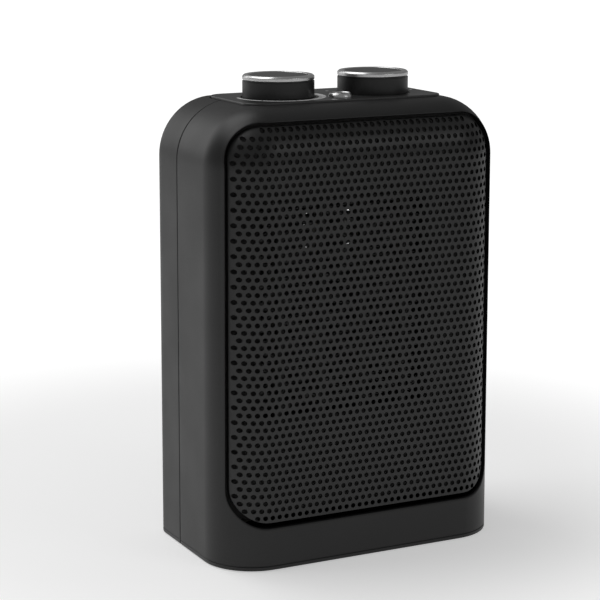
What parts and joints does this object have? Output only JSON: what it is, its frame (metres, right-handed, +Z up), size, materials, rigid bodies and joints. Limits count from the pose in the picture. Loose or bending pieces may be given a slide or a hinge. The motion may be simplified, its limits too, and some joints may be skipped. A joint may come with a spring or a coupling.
{
  "type": "ceramic space heater",
  "caption": "Upright compact ceramic fan heater: rounded black housing, perforated outlet grille on the front, control panel on top with two round knobs and an indicator lamp.",
  "frame": {"origin": "on the floor, at the middle of the heater's width and depth", "axes": "+Z up, the outlet grille faces -Y, +X to the right seen from the front"},
  "size_m": [0.166, 0.092, 0.25],
  "materials": {
    "housing": "fine satin moulded texture",
    "grille": "satin black powder coat",
    "panel": "satin",
    "knob": "satin",
    "satin_silver": "satin plated",
    "disc": "spun dark metallic",
    "lens": "smoked clear",
    "inner_plastic": "heat-resistant black moulding",
    "switch_plastic": "natural",
    "ceramic": "dry ceramic",
    "fins": "rolled strip",
    "steel": "plain",
    "copper": "enamelled copper winding",
    "brass": "turned",
    "rubber": "matt"
  },
  "bodies": {
    "housing": {"bearing_front": "brass", "bearing_rear": "brass", "case_screw_1": "steel", "case_screw_2": "steel", "case_screw_3": "steel", "case_screw_4": "steel", "control_panel": "panel", "cord_gland": "rubber", "fan_shroud": "inner_plastic", "fin_pack_1": "fins", "fin_pack_2": "fins", "fin_pack_3": "fins", "fin_pack_4": "fins", "fin_pack_5": "fins", "foot_front_left": "rubber", "foot_front_right": "rubber", "foot_rear_left": "rubber", "foot_rear_right": "rubber", "frame_screw_1": "steel", "frame_screw_2": "steel", "frame_screw_3": "steel", "frame_screw_4": "steel", "front_shell": "housing", "heater_frame": "inner_plastic", "lamp_bezel": "satin_silver", "lamp_holder": "switch_plastic", "lamp_lens": "lens", "lead_mode_switch_to_heater": "inner_plastic", "lead_terminal_to_mode_switch": "inner_plastic", "lead_terminal_to_motor": "inner_plastic", "lead_terminal_to_thermostat": "inner_plastic", "lead_tip_switch": "inner_plastic", "mode_switch_body": "inner_plastic", "motor_bracket_front": "steel", "motor_bracket_rear": "steel", "motor_coil": "copper", "motor_stator": "steel", "outlet_grille": "grille", "ptc_strip_1": "ceramic", "ptc_strip_2": "ceramic", "ptc_strip_3": "ceramic", "ptc_strip_4": "ceramic", "rear_shell": "housing", "terminal_block": "switch_plastic", "thermal_cutout": "steel", "thermostat_body": "switch_plastic", "tip_spring": "steel", "tip_switch_body": "switch_plastic"},
    "thermostat_dial": {"thermostat_knob": "knob", "thermostat_knob_ring": "satin_silver", "thermostat_knob_cap": "disc", "thermostat_spindle": "brass"},
    "mode_dial": {"mode_knob": "knob", "mode_knob_ring": "satin_silver", "mode_knob_cap": "disc", "mode_spindle": "brass"},
    "fan": {"impeller": "inner_plastic", "motor_rotor": "steel", "motor_shaft": "steel"},
    "tip_plunger": {"tip_plunger": "inner_plastic"}
  },
  "joints": [
    {"name": "thermostat_turn", "type": "hinge", "parent": "housing", "child": "thermostat_dial", "pos_m": [-0.0279, 0.0055, 0.2382], "axis": [0, 0, 1], "range_deg": [0, 200]},
    {"name": "mode_turn", "type": "hinge", "parent": "housing", "child": "mode_dial", "pos_m": [0.0279, 0.0055, 0.2382], "axis": [0, 0, -1], "range_deg": [0, 135]},
    {"name": "fan_spin", "type": "hinge", "parent": "housing", "child": "fan", "pos_m": [0, 0.012, 0.1285], "axis": [0, 1, 0], "continuous": true},
    {"name": "plunger_slide", "type": "slide", "parent": "housing", "child": "tip_plunger", "axis": [0, 0, -1], "range_m": [0, 0.005], "stiffness_N_per_m": 150, "springref_m": 0.007, "deforming": ["tip_spring"]}
  ]
}
